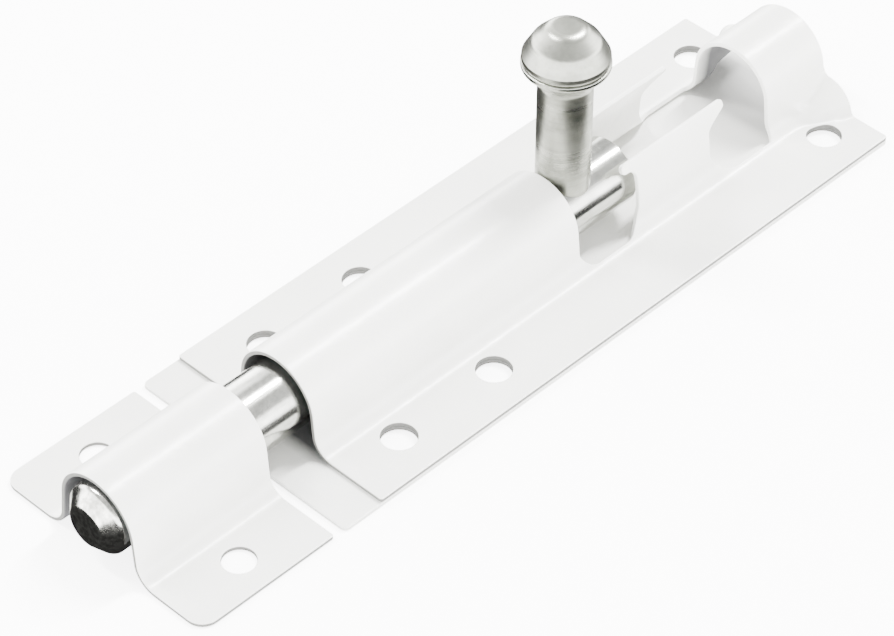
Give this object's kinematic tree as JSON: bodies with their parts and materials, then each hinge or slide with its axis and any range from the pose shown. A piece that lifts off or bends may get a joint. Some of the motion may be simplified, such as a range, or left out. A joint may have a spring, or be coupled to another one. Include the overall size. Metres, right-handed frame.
{
  "type": "tower bolt latch",
  "caption": "White pressed-steel surface bolt: a round zinc bar with a turning knob slides in a humped, slotted casing and shoots into a separate humped keep.",
  "frame": {"origin": "centre of the bounding box's footprint, on the surface that the bolt is screwed to, with the bar shot and the knob upright", "axes": "+X along the bar from the keep to the casing, so the bar shoots towards -X; +Y across the bolt; +Z away from the door"},
  "size_m": [0.1334, 0.038, 0.037],
  "materials": {
    "white_coat": "smooth semi-gloss white powder coat",
    "bright_zinc": "bright zinc plate over turned steel"
  },
  "bodies": {
    "frame": {"back_plate": "white_coat", "casing": "white_coat", "keep": "white_coat"},
    "bolt": {"bolt_bar": "bright_zinc"},
    "knob": {"knob": "bright_zinc"}
  },
  "joints": [
    {"name": "bolt_slide", "type": "slide", "parent": "frame", "child": "bolt", "axis": [1, 0, 0], "range_m": [0, 0.0305]},
    {"name": "knob_turn", "type": "hinge", "parent": "bolt", "child": "knob", "pos_m": [0.0198, 0, 0.0067], "axis": [1, 0, 0], "range_deg": [-90, 90]}
  ]
}
